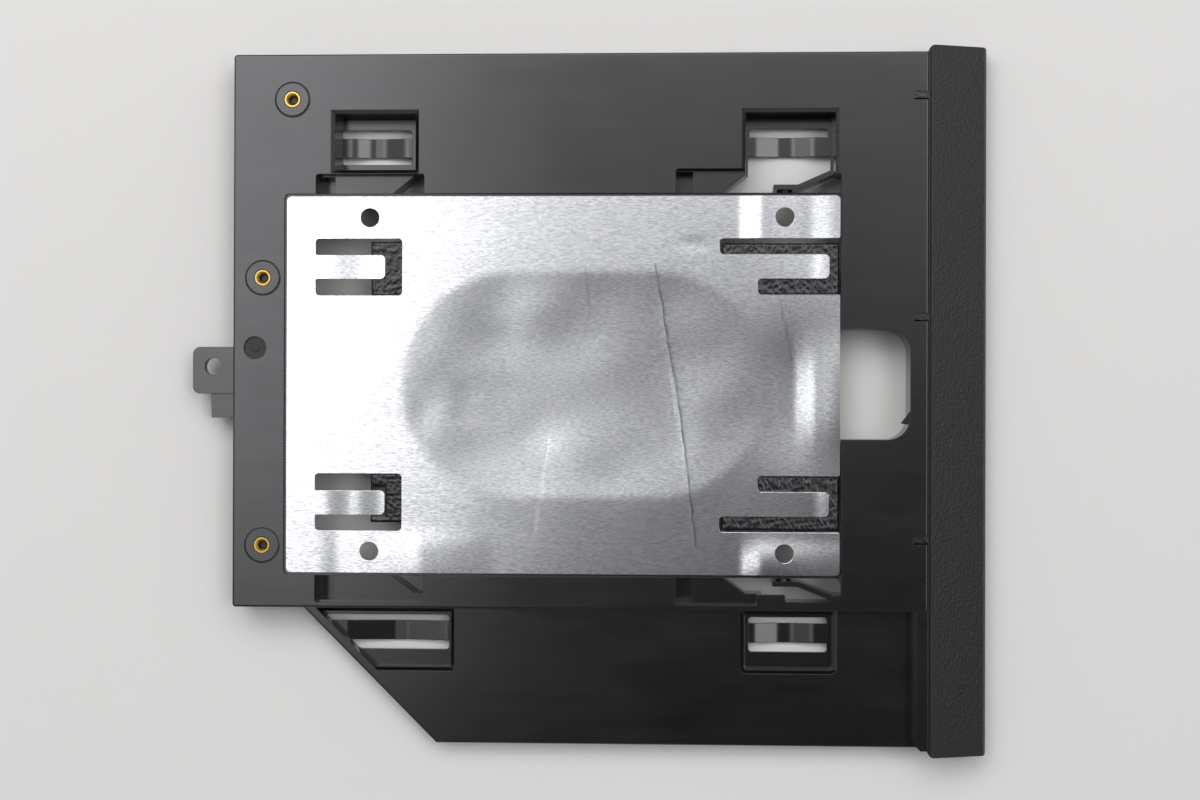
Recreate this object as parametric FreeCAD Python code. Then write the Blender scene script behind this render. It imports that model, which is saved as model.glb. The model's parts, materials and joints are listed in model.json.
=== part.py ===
import FreeCAD, Part
import math
import os

V = FreeCAD.Vector

# Laptop drive caddy, lying with its shield plate up. All sizes in millimetres.
# Datum while building: the middle of the drive's four bottom screw holes. x runs from the rear edge to
# the bezel, y across the caddy away from the wing, z from the open side up to the plate side.

# The drive that the caddy holds
hole_pitch_x = 76.6
hole_pitch_y = 61.72
hole_to_rear = 14.0
drive_length = 100.2
drive_width = 69.85
side_hole_height = 3.0

# Tray: thick body, thin wing with a cut rear corner, front strip that carries the bezel
tray_rear = -63.8
tray_length = 128.3
tray_width = 128.0
side_y = 61.2
body_width = 102.5
body_height = 9.5
body_corner = 0.6
wing_height = 4.6
wing_setback = 12.0
wing_cut = 25.5
skin = 1.4
wing_skin = 1.2
wall = 1.4
bay_wall = 1.2
strip = 2.0
strip_cut = 0.7
edge_round = 0.35
weld = 0.2

# Ribs inside the tray: each lies along one axis, at these places on the other
rib = 0.9
rib_gap = 0.5
rail_ribs_x = (-23.5, -9.5, 4.5, 56.0)
window_ribs_x = (-37.9, 38.9)
front_ribs_y = (26.0, -24.0)
step_ribs_x = (-20.0, -6.0, 8.0)
wing_ribs_x = (-14.0, 2.0, 18.0, 52.0)
wing_rib_y = -56.2
wing_rib_x = (-48.0, 62.0)

# Drive bay and plate recess
bay_play = 0.3
bay_rear_play = 0.5
bay_front_play = 0.6
ledge_side = 1.85
ledge_rear = 3.0
recess_depth = 0.5
recess_play = 0.45

# Shield plate with its pressed dish and four tongues; tongue and slot places run in from the plate's ends
plate_thick = 0.4
plate_rear = -53.8
plate_front = 48.4
plate_inset = 0.075
plate_corner = 0.9
plate_hole = 3.44
dish_middle = 1.4
dish_length = 67.2
dish_width = 41.5
dish_depth = 0.55
dish_floor = 12.0
slot_corner = 0.7
tongue_corner = 0.9
rear_slot_in = (5.4, 21.5)
rear_tip_in = 18.35
rear_slots_y = ((16.5, 26.95), (-27.05, -16.5))
rear_tongues_y = ((19.5, 24.0), (-24.15, -19.65))
front_outer_in = 22.0
front_inner_in = 15.0
front_end_in = 3.9
front_tip_in = 1.95
front_slot_y = (16.65, 26.95)
front_tongue_y = (19.55, 24.1)

# Foam pads, in from the plate's ends, and the tape under the plate
pad_thick = 0.85
pad_rear_in = (15.7, 28.2)
pad_front_in = (0.2, 21.6)
pads_rear_y = {"upper": (16.4, 26.4), "lower": (-25.5, -15.9)}
pads_front_y = {"upper": (16.6, 26.1), "lower": (-26.6, -16.6)}
tape_margin = 0.15
tape_front_gap = 3.0

# Spring windows: a cup whose floor carries a bowed bar between two slits. Places along x are from the
# nearest peg, upper ones across are out from the bay's pockets, lower ones out from the body's step.
floor_bottom = 0.9
floor_thick = 1.0
cup_wall = 1.0
cup_draft = 0.3
cup_corner = 0.6
lip = 0.65
slit_corner = 0.4
rear_window = (-6.7, 8.4)
front_window = (-7.3, 9.3)
wing_window = (-11.7, 14.7)
upper_window_out = (4.425, 14.875)
lower_window_out = (1.1, 11.5)
upper_slit_out = (6.175, 12.675)
lower_slit_out = (1.85, 8.35)
wing_slit_inset = 0.6
wing_window_wall = 1.6

# Bowed bars: level ends, sloped flanks and a flat crown, with rounded bends between them
bar_thick = 0.9
bar_margin = 0.4
crown_half = 1.3
bar_bend = 5.0
bar_long_end = 3.1
bar_short_end = 1.6
rear_bar = (-6.5, 6.8)
front_bar = (-6.4, 8.2)
upper_bar_out = (7.525, 11.125)
lower_bar_out = (3.05, 6.65)
crown_place = 0.3
wing_crown_place = 4.9

# Peg pockets beside the bay, each with a block at mid level and a deep end. Places along x are from the
# peg, and those across are out from the pockets' inner line beside the bay.
pocket_line = 0.1
pocket_rear = (-10.1, 10.1)
pocket_front = (-20.1, 10.35)
pocket_upper_out = 3.675
pocket_upper_front_out = 4.475
pocket_lower_out = 5.075
pocket_corner = 0.6
pocket_floor = 2.0
pocket_deep = 3.2
pocket_wall = 0.9
block_drop = 2.5
block_front_upper = -6.7
block_front_lower = -5.0
rear_gap = (3.6, 8.1, 9.9)
rear_gap_lower_out = 3.375
upper_gap = (-11.8, -6.7, 8.7)
upper_gap_out = (3.875, 3.575)
lower_gap = (-11.5, -7.0, 0.2, 8.4)
lower_gap_out = (3.075, 4.375, 3.175)

# Pegs that hold the drive by its side holes, and the flexing arms that carry two of them
peg_radius = 1.0
peg_reach = 1.35
peg_flange = 1.5
flange_thick = 0.3
arm_thick = 0.95
arm_bottom = 1.2
arm_top = 0.9
arm_stand_off = 0.75
arm_tip = -2.1
arm_bend = 2.6
arm_root_upper = (8.6, 3.675)
arm_root_lower = (8.3, 3.275)

# Inserts and the bosses around them
insert_places = [(-52.8, 52.8), (-58.25, 19.75), (-58.25, -29.8)]
insert_radius = 1.55
insert_bore = 0.8
insert_length = 3.4
boss_radius = 3.3
boss_rise = 0.35
boss_chamfer = 0.3
screw_way = 1.1

# Moulding gate: a shallow dimple with the broken sprue in it
gate_place = (-59.7, 6.75)
gate_radius = 2.1
gate_depth = 0.35
sprue_radius = 0.7
sprue_sunk = 0.15

# Adapter board, its screws, its two connectors and its small parts
board_drop = 4.5
board_thick = 1.0
board_play = 0.2
board_y = (-33.6, 37.2, 56.8)
board_inner = -49.9
board_bite = 1.5
screw_radius = 0.78
screw_head = 1.9
screw_head_height = 0.8
screw_short = 1.6
cross_length = 1.8
cross_width = 0.4
cross_depth = 0.5
socket_y = (-26.0, 16.0)
socket_height = 4.8
socket_depth = 5.6
socket_key = 27.0
socket_slot = (3.6, 1.8)
plug_y = (26.5, 49.5)
plug_height = 4.2
plug_depth = 6.0
plug_mouth = (4.2, 2.6)
contact_pitch = 1.27
contact_width = 0.6
component_places = [
    ((-60.6, -59.0), (0.0, 3.0), 0.9),
    ((-60.8, -59.2), (9.0, 10.6), 0.7),
    ((-60.8, -59.2), (-8.0, -6.4), 0.7),
    ((-60.8, -59.2), (-16.0, -14.4), 0.7),
    ((-56.4, -54.8), (25.0, 28.0), 1.2),
    ((-56.4, -55.2), (31.0, 33.0), 0.6),
    ((-60.0, -57.0), (52.6, 55.4), 1.1),
]

# Rear tab with its screw hole, and the lug beside it
tab_reach = 8.2
tab_y = (-1.75, 7.0)
tab_thick = 2.0
tab_drop = 3.0
tab_corner = 1.3
tab_hole = (-68.15, 3.3)
tab_hole_radius = 1.65
lug_reach = 4.9
lug_y = (-6.2, -1.75)
lug_top_drop = 4.0
lug_thick = 2.5

# Finger window and the torn gate mark on its edge
finger_front = 61.2
finger_y = (-9.9, 10.4)
finger_corner = 4.2
tear_y = (-4.4, -6.9, -7.2)
tear_reach = 1.7
tear_thick = 0.3
tear_drop = 0.7

# Bezel with webs inside and three hooks
bezel_depth = 10.9
bezel_overhang = 1.2
bezel_drop = 3.9
bezel_wall = 1.5
bezel_corner = 1.2
bezel_nose = 0.5
groove = (0.3, 0.6)
web = 1.0
web_places = (40.0, 26.0, 0.0, -14.0, -44.0, -56.0)
hook_places = [53.2, 12.6, -28.2]
hook_width = 1.2
hook_reach = 2.6
hook_root = 1.4
hook_thick = 1.0
hook_drop = 2.6
hook_play = 0.25
hook_fit = 0.05

# Sizes that follow
tray_front = tray_rear + tray_length
wing_y = side_y - tray_width
step_y = side_y - body_width
top = body_height
under = top - skin
wing_under = wing_height - wing_skin
drive_rear = -hole_pitch_x / 2 - hole_to_rear
drive_front = drive_rear + drive_length
bay_rear = drive_rear - bay_rear_play
bay_front = drive_front + bay_front_play
bay_half = drive_width / 2 + bay_play
pocket_half = bay_half + pocket_line
plate_half = drive_width / 2 - plate_inset
opening_half = plate_half - ledge_side
opening_rear = plate_rear + ledge_rear
plate_bottom = top - plate_thick
tape_bottom = top - recess_depth
peg_x = hole_pitch_x / 2
peg_z = under - side_hole_height
pocket_front_end = peg_x + pocket_front[1]
floor_top = floor_bottom + floor_thick
board_top = top - board_drop
board_bottom = board_top - board_thick
board_middle = (board_top + board_bottom) / 2
boss_top = top + boss_rise
bezel_front = tray_front + bezel_depth
through = (-1.0, top + 2.0)


def box(x, y, z):
    """Block between two limits on each axis, given in either order."""
    low = V(min(x), min(y), min(z))
    high = V(max(x), max(y), max(z))
    size = high - low
    return Part.makeBox(size.x, size.y, size.z, low)


def cylinder(radius, x, y, z):
    """Upright round bar between two heights."""
    return Part.makeCylinder(radius, abs(z[1] - z[0]), V(x, y, min(z)))


def widen(limits, by):
    """Two limits moved apart, or together where by is negative."""
    return (limits[0] - by, limits[1] + by)


def band(middle, size):
    """Two limits about a middle."""
    return (middle - size / 2, middle + size / 2)


def shift(places, start, sense=1):
    """Places counted from a start, forwards or, with a sense of -1, backwards."""
    return tuple(start + sense * place for place in places)


def corners(x, y):
    """Corner points of a rectangle, anticlockwise."""
    return [(min(x), min(y)), (max(x), min(y)), (max(x), max(y)), (min(x), max(y))]


def outline(points, radii, z):
    """Closed wire through points, each corner rounded by its own radius or by one radius for all."""
    count = len(points)
    if not isinstance(radii, list):
        radii = [radii] * count
    bends = []
    for i in range(count):
        here = V(points[i][0], points[i][1], z)
        back = V(points[i - 1][0], points[i - 1][1], z) - here
        ahead = V(points[(i + 1) % count][0], points[(i + 1) % count][1], z) - here
        half = back.getAngle(ahead) / 2
        back.normalize()
        ahead.normalize()
        if radii[i] == 0:
            bends.append((here, None, here))
            continue
        reach = radii[i] / math.tan(half)
        inward = back + ahead
        inward.normalize()
        nearest = here + inward * (radii[i] / math.sin(half) - radii[i])
        bends.append((here + back * reach, nearest, here + ahead * reach))
    edges = []
    for i in range(count):
        start, nearest, stop = bends[i]
        if nearest is not None:
            edges.append(Part.Arc(start, nearest, stop).toShape())
        following = bends[(i + 1) % count][0]
        if (following - stop).Length > 1e-6:
            edges.append(Part.makeLine(stop, following))
    return Part.Wire(edges)


def prism(points, z, radii=0):
    """Upright bar with a rounded outline."""
    return Part.Face(outline(points, radii, min(z))).extrude(V(0, 0, abs(z[1] - z[0])))


def tapered(low_points, high_points, z, radii):
    """Upright bar whose outline and corner radius change from its foot to its top."""
    rings = [outline(low_points, radii[0], z[0]), outline(high_points, radii[1], z[1])]
    return Part.makeLoft(rings, True, True)


def clipped(points, cut):
    """Closed outline with a small straight cut at each corner."""
    ring = []
    for i in range(len(points)):
        here = V(*points[i], 0)
        for other in (points[i - 1], points[(i + 1) % len(points)]):
            way = V(*other, 0) - here
            way.normalize()
            place = here + way * cut
            ring.append((place.x, place.y))
    return ring


def rim(solid, z):
    """Edges of a solid that lie at one height."""
    return [edge for edge in solid.Edges if all(abs(vertex.Z - z) < 1e-6 for vertex in edge.Vertexes)]


def side_peg(x, wall_face, side, flange):
    """Peg that reaches from a wall face into a side hole of the drive; side is +1 or -1 along y."""
    length = abs(wall_face) - drive_width / 2 + peg_reach
    foot = V(x, wall_face, peg_z)
    inward = V(0, -side, 0)
    peg = Part.makeCylinder(peg_radius, length, foot, inward)
    if flange:
        peg = peg.fuse(Part.makeCylinder(peg_flange, flange_thick, foot, inward))
    return peg


def bowed_bar(x, y, crown, low_end, high_end):
    """Spring bar along x, level over low_end and high_end, that dips to the resting plane at its crown."""
    low, high = widen(x, bar_margin)
    stations = [low, low + low_end, crown - crown_half, crown + crown_half, high - high_end, high]
    heights = [floor_bottom, floor_bottom, 0.0, 0.0, floor_bottom, floor_bottom]
    lower = list(zip(stations, heights))
    upper = [(station, height + bar_thick) for station, height in lower]
    bends = [0] + [bar_bend] * 4 + [0]
    side = Part.Face(outline(lower + upper[::-1], bends * 2, 0))
    side.rotate(V(0, 0, 0), V(1, 0, 0), 90)
    side.translate(V(0, max(y), 0))
    return side.extrude(V(0, min(y) - max(y), 0))


def wing_points(inset):
    """Outline of the wing with its cut rear corner, moved in from its edge."""
    rear = tray_rear + wing_setback
    slant = inset * math.tan(math.pi / 8)
    return [
        (rear + inset * math.sqrt(2), step_y),
        (rear + wing_cut + slant, wing_y + inset),
        (tray_front - inset, wing_y + inset),
        (tray_front - inset, step_y),
    ]


def tray_shell():
    """Body, wing and front strip, cored out from the open side."""
    plan = corners((tray_rear, tray_front), (step_y, side_y))
    body = prism(plan, (0, top), [body_corner, 0, 0, body_corner])
    body = body.makeFillet(edge_round, rim(body, top))
    wing = wing_points(0)
    wing[0] = (wing[0][0] - body_corner, step_y + body_corner)
    wing[3] = (wing[3][0], step_y + body_corner)
    wing_block = prism(wing, (0, wing_height))
    wing_block = wing_block.makeFillet(edge_round, rim(wing_block, wing_height))
    strip_x = tray_front - strip
    strip_points = [
        (strip_x, step_y + strip),
        (strip_x, wing_y + strip_cut),
        (strip_x + strip_cut, wing_y),
        (tray_front, wing_y),
        (tray_front, step_y + strip),
    ]
    shell = body.fuse([wing_block, prism(strip_points, (0, top - edge_round / 2))])
    core = box((tray_rear + wall, tray_front - wall), (step_y + wall, side_y - wall), (-1, under))
    wing_core = prism(wing_points(wall), (-1, wing_under))
    return shell.cut([core, wing_core])


def ribs():
    """Stiffening ribs on the inner side of the skin, a little short of the resting plane."""
    body_z = (rib_gap, under + weld)
    wing_z = (rib_gap, wing_under + weld)
    rail_y = (bay_half + weld, side_y - wall + weld)
    window_wall = pocket_half + upper_window_out[1] + cup_wall - weld
    front_x = (bay_front + weld, tray_front - wall + weld)
    step_band = (step_y + wall - weld, -bay_half - weld)
    wing_band = (wing_y + wall - weld, step_y + weld)
    pieces = []
    for x in rail_ribs_x:
        pieces.append(box((x, x + rib), rail_y, body_z))
    for x in window_ribs_x:
        pieces.append(box((x, x + rib), (window_wall, rail_y[1]), body_z))
    for y in front_ribs_y:
        pieces.append(box(front_x, (y, y + rib), body_z))
    for x in step_ribs_x:
        pieces.append(box((x, x + rib), step_band, body_z))
    for x in wing_ribs_x:
        pieces.append(box((x, x + rib), wing_band, wing_z))
    long_rib = box(wing_rib_x, (wing_rib_y, wing_rib_y + rib), wing_z)
    pieces.append(long_rib.common(prism(wing_points(wall / 2), (-1, wing_height))))
    return pieces


def inner_walls():
    """Bay walls, finger window wall and bosses inside the shell."""
    bay_x = widen((bay_rear, bay_front), bay_wall)
    bay_y = widen((-bay_half, bay_half), bay_wall)
    pieces = [box(bay_x, bay_y, (0, under + weld))]
    finger_x = (bay_front, finger_front + bay_wall)
    pieces.append(box(finger_x, widen(finger_y, bay_wall), (0, under + weld)))
    for x, y in insert_places:
        boss = cylinder(boss_radius, x, y, (board_top, boss_top))
        pieces.append(boss.makeChamfer(boss_chamfer, rim(boss, boss_top)))
    return pieces


def wing_slant_x(y):
    """Where the inner side of the wing's slanted wall crosses a given y."""
    return wing_points(wing_window_wall)[0][0] + step_y - y


def wing_window_points(y, x_high):
    """Four-sided opening that follows the slanted wall at its rear end."""
    return [(wing_slant_x(y[0]), y[0]), (x_high, y[0]), (x_high, y[1]), (wing_slant_x(y[1]), y[1])]


def cups():
    """Outer bodies of the four spring windows."""
    rear_x = widen(shift(rear_window, -peg_x), cup_wall)
    front_x = widen(shift(front_window, peg_x), cup_wall)
    wing_x = shift(wing_window, -peg_x)
    upper_y = (pocket_half, pocket_half + upper_window_out[1] + cup_wall)
    lower_y = (step_y - lower_window_out[1] - cup_wall, step_y + weld)
    body_z = (floor_bottom, under + weld)
    wing_z = (floor_bottom, wing_under + weld)
    rear_wing = box((wing_x[0], wing_x[1] + cup_wall), lower_y, wing_z)
    return [
        box(rear_x, upper_y, body_z),
        box(front_x, upper_y, body_z),
        box(front_x, lower_y, wing_z),
        rear_wing.common(prism(wing_points(wall / 2), (-1, wing_height))),
    ]


def window_cuts():
    """What is taken out of the cups: drafted openings and slits through the floor."""
    rear_x = shift(rear_window, -peg_x)
    front_x = shift(front_window, peg_x)
    wing_end = wing_window[1] - peg_x
    upper_y = shift(upper_window_out, pocket_half)
    lower_y = shift(lower_window_out, step_y, -1)
    mitred = (0, 0)
    rounded = ([cup_corner, cup_corner, 0, 0], [cup_corner + lip, cup_corner + lip, 0, 0])
    cuts = []
    for x, y, height, radii in (
        (rear_x, upper_y, top, mitred),
        (front_x, (pocket_half + cup_wall, upper_y[1]), top, mitred),
        (front_x, lower_y[::-1], wing_height, rounded),
    ):
        foot = corners(widen(x, -cup_draft), widen(y, -cup_draft))
        mouth = corners(widen(x, lip), widen(y, lip))
        cuts.append(tapered(foot, corners(x, y), (floor_top, height), (radii[0], radii[0])))
        cuts.append(tapered(corners(x, y), mouth, (height - lip, height + 0.001), radii))
    rear_wing = wing_window_points(lower_y[::-1], wing_end)
    cuts.append(prism(rear_wing, (floor_top, wing_height + 1)))
    mouth = wing_window_points(widen(lower_y[::-1], lip), wing_end + lip)
    cuts.append(tapered(rear_wing, mouth, (wing_height - lip, wing_height + 0.001), mitred))
    upper_slit = shift(upper_slit_out, pocket_half)
    lower_slit = shift(lower_slit_out, step_y, -1)[::-1]
    front_x = shift(front_bar, peg_x)
    slits = [
        corners(shift(rear_bar, -peg_x), upper_slit),
        corners(front_x, (pocket_half, upper_slit[1])),
        corners(front_x, lower_slit),
        wing_window_points(lower_slit, wing_end - wing_slit_inset),
    ]
    for points in slits:
        cuts.append(prism(clipped(points, slit_corner), (-1, floor_top + cup_draft)))
    return cuts


def bars():
    """The four bowed bars."""
    upper_y = shift(upper_bar_out, pocket_half)
    lower_y = shift(lower_bar_out, step_y, -1)
    front_x = shift(front_bar, peg_x)
    wing_x = (wing_slant_x(lower_y[0]) + bar_margin, wing_window[1] - peg_x)
    wing_bar = bowed_bar(wing_x, lower_y, wing_crown_place - peg_x, bar_long_end, bar_short_end)
    rear_crown = crown_place - peg_x
    front_crown = crown_place + peg_x
    return [
        bowed_bar(shift(rear_bar, -peg_x), upper_y, rear_crown, bar_long_end, bar_short_end),
        bowed_bar(front_x, upper_y, front_crown, bar_short_end, bar_long_end),
        bowed_bar(front_x, lower_y, front_crown, bar_short_end, bar_long_end),
        wing_bar.common(prism(wing_points(wall / 2), (-1, wing_height))),
    ]


def pocket_fills():
    """Solid blocks beside the bay that the pockets are sunk into."""
    z = (0, under + weld)
    upper_y = (bay_half, pocket_half + pocket_upper_front_out + pocket_wall)
    lower_y = (-bay_half, step_y + weld)
    fills = []
    for x in (shift(pocket_rear, -peg_x), shift((pocket_front[0], block_front_lower), peg_x)):
        span = widen(x, pocket_wall)
        fills.append(box(span, upper_y, z))
        fills.append(box(span, lower_y, z))
    root_z = (floor_bottom, under + weld)
    root_end = pocket_front_end + pocket_wall
    upper_root_y = shift((upper_gap_out[1], upper_bar_out[0]), pocket_half)
    lower_root_y = (step_y + weld, -pocket_half - lower_gap_out[2])
    fills.append(box((peg_x + upper_gap[2], root_end), upper_root_y, root_z))
    fills.append(box((peg_x + lower_gap[3], root_end), lower_root_y, root_z))
    return fills


def shallow_pockets():
    """Pockets down to the blocks at mid level, each with a deep end towards the rear."""
    rear_x = shift(pocket_rear, -peg_x)
    front_start = peg_x + pocket_front[0]
    cuts = []
    for x, side, out in (
        (rear_x, 1, pocket_upper_out),
        (rear_x, -1, pocket_lower_out),
        ((front_start, peg_x + block_front_upper), 1, pocket_upper_front_out),
        ((front_start, peg_x + block_front_lower), -1, pocket_lower_out),
    ):
        inner = side * pocket_half
        outer = inner + side * out
        radii = [0, 0, pocket_corner, pocket_corner]
        if side < 0:
            radii.reverse()
        cuts.append(prism(corners(x, (inner, outer)), (top - block_drop, top + 1), radii))
        deep_x = (x[0] + pocket_line, x[0] + pocket_deep)
        cuts.append(box(deep_x, (inner, outer - side * wall / 4), (pocket_floor, top + 1)))
    return cuts


def arm_gaps():
    """Openings right through the tray beside the rear blocks and round the two arms, open to the bay."""
    cuts = []
    low, bend, high = shift(rear_gap, -peg_x)
    for side, out in ((1, pocket_upper_out), (-1, rear_gap_lower_out)):
        inner = side * pocket_half
        outer = inner + side * out
        cuts.append(prism([(low, inner), (high, inner), (high, outer), (bend, outer)], through))
    low, bend, high = shift(upper_gap, peg_x)
    shelf, root = shift(upper_gap_out, pocket_half)
    slit = pocket_half + upper_bar_out[0]
    upper = [
        (low, pocket_half),
        (pocket_front_end, pocket_half),
        (pocket_front_end, root),
        (high, root),
        (high, slit),
        (bend, slit),
        (bend, shelf),
    ]
    cuts.append(prism(upper, through, [0, pocket_corner, pocket_corner, 0, 0, 0, 0]))
    low, bend, jog, high = shift(lower_gap, peg_x)
    shelf, deep, root = shift(lower_gap_out, -pocket_half, -1)
    lower = [
        (low, -pocket_half),
        (bend, shelf),
        (jog, shelf),
        (jog, deep),
        (high, deep),
        (high, root),
        (pocket_front_end, root),
        (pocket_front_end, -pocket_half),
    ]
    jog_round = pocket_corner / 2
    cuts.append(prism(lower, through, [0, jog_round, jog_round, jog_round, 0, 0, pocket_corner, 0]))
    rear_x = shift((rear_gap[0], rear_gap[2]), -peg_x)
    upper_x = (peg_x + upper_gap[0], pocket_front_end)
    lower_x = (peg_x + lower_gap[0], pocket_front_end)
    for side, x in ((1, rear_x), (-1, rear_x), (1, upper_x), (-1, lower_x)):
        cuts.append(box(x, (side * (bay_half - weld), side * pocket_half), (-1, under)))
    return cuts


def peg_arm(side, root):
    """Flexing arm: a level end with its peg, then a slanted blade to its root."""
    face = side * (bay_half + arm_stand_off)
    back = face + side * arm_thick
    tip = peg_x + arm_tip
    bend = peg_x + arm_bend
    root_x = peg_x + root[0]
    root_y = side * (pocket_half + root[1])
    points = [
        (tip, face),
        (bend, face),
        (root_x + arm_thick / 2, root_y - side * weld),
        (root_x + weld, root_y + side * (arm_thick - weld)),
        (bend - weld, back),
        (tip, back),
    ]
    if side < 0:
        points.reverse()
    arm = prism(points, (arm_bottom, top - arm_top))
    return arm.fuse(side_peg(peg_x, face, side, True))


def rear_tab():
    """Screw tab and lug that stand out from the rear wall."""
    root = tray_rear + wall / 2
    tab_top = top - tab_drop
    plan = corners((tray_rear - tab_reach, root), tab_y)
    tab = prism(plan, (tab_top - tab_thick, tab_top), [tab_corner, 0, 0, tab_corner])
    tab = tab.cut(cylinder(tab_hole_radius, tab_hole[0], tab_hole[1], through))
    lug_top = top - lug_top_drop
    return tab.fuse(box((tray_rear - lug_reach, root), lug_y, (lug_top - lug_thick, lug_top)))


def recess_and_bay_cuts():
    """Drive bay, plate recess and the opening between them, finger window and connector ways."""
    recess_y = widen((-plate_half, plate_half), recess_play)
    recess = corners(widen((plate_rear, plate_front), recess_play), recess_y)
    finger = corners((bay_front - bay_wall, finger_front), finger_y)
    socket_x = (bay_rear - bay_wall - 0.1, bay_rear + 0.1)
    plug_x = (tray_rear - 1, tray_rear + wall + 0.1)
    return [
        box((bay_rear, bay_front), (-bay_half, bay_half), (-1, under)),
        prism(recess, (tape_bottom, top + 1), plate_corner),
        box((opening_rear, bay_front + 0.1), (-opening_half, opening_half), (0, top)),
        prism(finger, through, [0, finger_corner, finger_corner, 0]),
        box(socket_x, widen(socket_y, 1.0), (-1, under)),
        box(plug_x, widen(plug_y, 0.5), (-1, under - 1.0)),
    ]


def make_tray():
    """The one-piece moulding."""
    tray = tray_shell().fuse(ribs() + inner_walls() + cups() + pocket_fills())
    cuts = recess_and_bay_cuts() + window_cuts() + shallow_pockets() + arm_gaps()
    for x, y in insert_places:
        cuts.append(cylinder(insert_radius, x, y, (board_top - 1, boss_top + 1)))
    cuts.append(cylinder(gate_radius, *gate_place, (top - gate_depth, top + 1)))
    for y in hook_places:
        span = (y - hook_width / 2 - hook_play, y + hook_width / 2 + hook_fit)
        notch_z = (top - hook_drop - hook_play, top + 1)
        cuts.append(box((tray_front - hook_reach - hook_fit, tray_front + 1), span, notch_z))
    tray = tray.cut(cuts)
    adds = bars() + [peg_arm(1, arm_root_upper), peg_arm(-1, arm_root_lower), rear_tab()]
    adds.append(cylinder(sprue_radius, *gate_place, (top - gate_depth - weld, top - sprue_sunk)))
    for side in (1, -1):
        adds.append(side_peg(-peg_x, side * (bay_half + weld), side, False))
    edge_x = finger_front + weld
    tear = [(edge_x, tear_y[0]), (finger_front - tear_reach, tear_y[1]), (edge_x, tear_y[2])]
    adds.append(prism(tear, (top - tear_drop - tear_thick, top - tear_drop)))
    return tray.fuse(adds).removeSplitter()


def make_bezel():
    """Front bezel: sloped outside, hollow, with webs and three hooks."""
    low, high = widen((wing_y, side_y), bezel_overhang)
    slope_foot = top - bezel_drop
    inner_x = tray_front + groove[0]
    profile = [
        V(tray_front, low, 0),
        V(bezel_front - bezel_nose, low, 0),
        V(bezel_front, low, bezel_nose),
        V(bezel_front, low, slope_foot - bezel_nose),
        V(bezel_front - bezel_nose, low, slope_foot + weld),
        V(inner_x + groove[0], low, top),
        V(inner_x, low, top - weld),
        V(inner_x, low, top - groove[1]),
        V(tray_front, low, top - groove[1]),
    ]
    shell = Part.Face(Part.makePolygon(profile + profile[:1])).extrude(V(0, high - low, 0))
    plan = corners((tray_front, bezel_front), (low, high))
    shell = shell.common(prism(plan, through, [bezel_corner, bezel_nose, bezel_nose, bezel_corner]))
    inside_low = low + bezel_wall
    roof = top - bezel_wall - groove[1]
    inside = [
        V(tray_front - 1, inside_low, bezel_wall),
        V(bezel_front - bezel_wall, inside_low, bezel_wall),
        V(bezel_front - bezel_wall, inside_low, slope_foot - bezel_wall),
        V(tray_front + web, inside_low, roof),
        V(tray_front - 1, inside_low, roof),
    ]
    width = high - low - 2 * bezel_wall
    bezel = shell.cut(Part.Face(Part.makePolygon(inside + inside[:1])).extrude(V(0, width, 0)))
    adds = []
    for y in web_places:
        plate = box((tray_front, bezel_front - bezel_wall / 2), (y, y + web), (bezel_wall / 2, top))
        adds.append(plate.common(shell))
    hook_z = (top - hook_drop, top - hook_drop + hook_thick)
    for y in hook_places:
        span = band(y, hook_width)
        adds.append(box((tray_front - hook_reach, tray_front + hook_root), span, hook_z))
        adds.append(box((tray_front - hook_reach, tray_front), span, (hook_z[0], top - hook_fit)))
    return bezel.fuse(adds).removeSplitter()


def dish_form(height):
    """Body between a level face and the dish pressed into it: sloped all round, with a level middle."""
    straight = (dish_length - dish_width) / 2
    rings = []
    for half, depth in ((dish_floor / 2, dish_depth), (dish_width / 2, 0)):
        plan = corners(band(dish_middle, 2 * (straight + half)), (-half, half))
        rings.append(outline(plan, half - 0.001, height - depth))
    return Part.makeLoft(rings, True, True)


def tongue_cuts():
    """Slots that free the four tongues, in plan."""
    z = (plate_bottom - 1, top + 1)
    kept_z = widen(z, 1.0)
    tip_round = [0, tongue_corner, tongue_corner, 0]
    rear_x = shift(rear_slot_in, plate_rear)
    cuts = []
    for y, tongue in zip(rear_slots_y, rear_tongues_y):
        around = prism(corners(rear_x, y), z, slot_corner)
        kept = corners((rear_x[0] - 1, plate_rear + rear_tip_in), tongue)
        cuts.append(around.cut(prism(kept, kept_z, tip_round)))
    past = plate_front + 1.0
    for side in (1, -1):
        inner, outer = [side * y for y in front_slot_y]
        tongue = [side * y for y in front_tongue_y]
        outer_x = (plate_front - front_outer_in, past)
        inner_x = (plate_front - front_inner_in, past)
        cuts.append(prism(corners(outer_x, (tongue[1], outer)), z, slot_corner))
        cuts.append(prism(corners(inner_x, (inner, tongue[0])), z, slot_corner))
        end = box((plate_front - front_end_in, past), (inner, outer), z)
        kept = corners((inner_x[0], plate_front - front_tip_in), tongue)
        cuts.append(end.cut(prism(kept, kept_z, tip_round)))
    return cuts


def make_plate():
    """Pressed sheet: dish, tongues and drive-screw holes."""
    plan = corners((plate_rear, plate_front), (-plate_half, plate_half))
    plate = prism(plan, (plate_bottom, top), plate_corner)
    plate = plate.fuse(dish_form(plate_bottom)).cut([dish_form(top)] + tongue_cuts())
    for x in (-peg_x, peg_x):
        for y in (-hole_pitch_y / 2, hole_pitch_y / 2):
            plate = plate.cut(cylinder(plate_hole / 2, x, y, (plate_bottom - 1, top + 1)))
    return plate.removeSplitter()


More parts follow.
